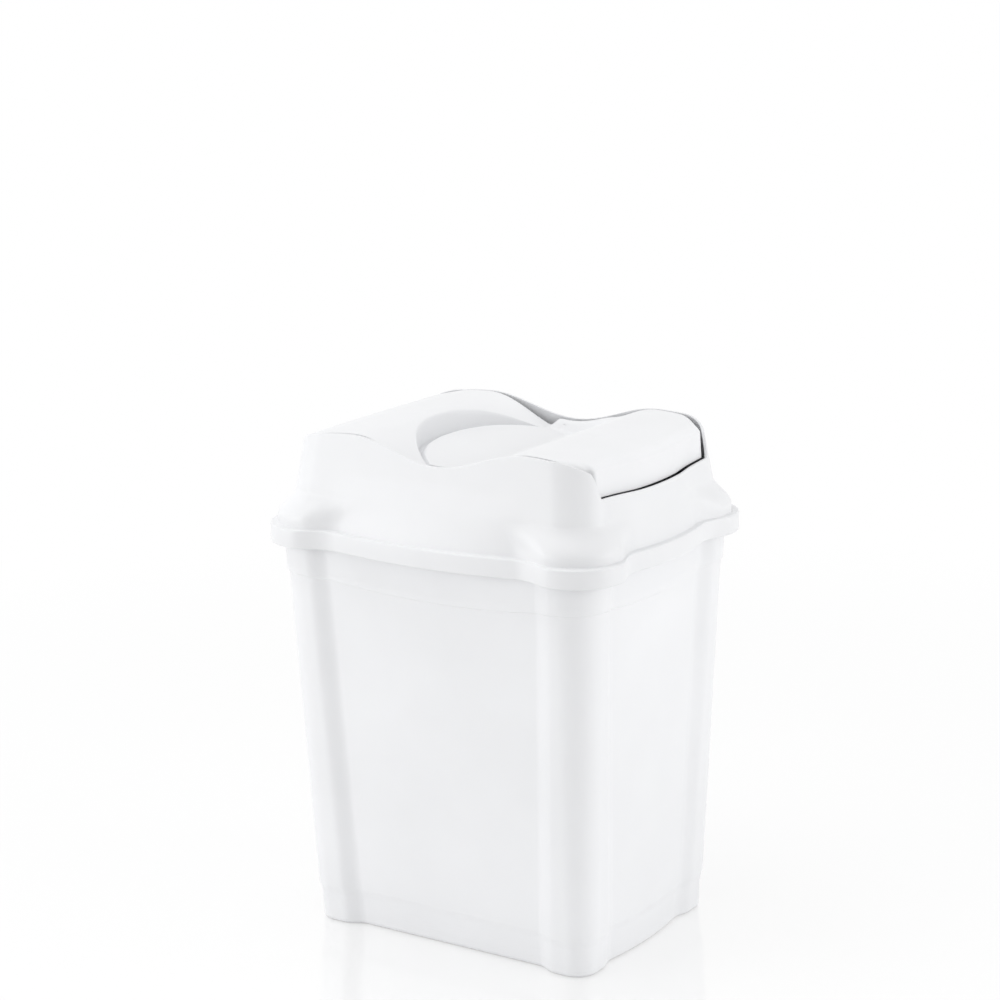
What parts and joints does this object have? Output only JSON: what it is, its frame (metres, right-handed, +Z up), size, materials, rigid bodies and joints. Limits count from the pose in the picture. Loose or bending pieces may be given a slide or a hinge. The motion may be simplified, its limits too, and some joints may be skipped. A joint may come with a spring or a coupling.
{
  "type": "swing lid bin",
  "caption": "Small white worktop bin with a seated hood and a waved swing flap with a finger recess.",
  "frame": {"origin": "middle of the foot, on the surface the bin stands on", "axes": "+Z up, +X along the long side towards the plain end of the flap, -Y is the front long side"},
  "size_m": [0.2204, 0.1734, 0.2846],
  "materials": {
    "bin_plastic": "satin moulded polypropylene",
    "hood_plastic": "satin moulded polypropylene",
    "flap_plastic": "satin moulded polypropylene"
  },
  "bodies": {
    "bin": {"bin_body": "bin_plastic"},
    "hood": {"hood": "hood_plastic"},
    "flap": {"swing_flap": "flap_plastic"}
  },
  "joints": [
    {"name": "lid_lift", "type": "slide", "parent": "bin", "child": "hood", "axis": [0, 0, 1], "range_m": [0, 0.06]},
    {"name": "flap_swing", "type": "hinge", "parent": "hood", "child": "flap", "pos_m": [-0.0004, 0, 0.2686], "axis": [0, 1, 0], "range_deg": [-75, 75]}
  ]
}
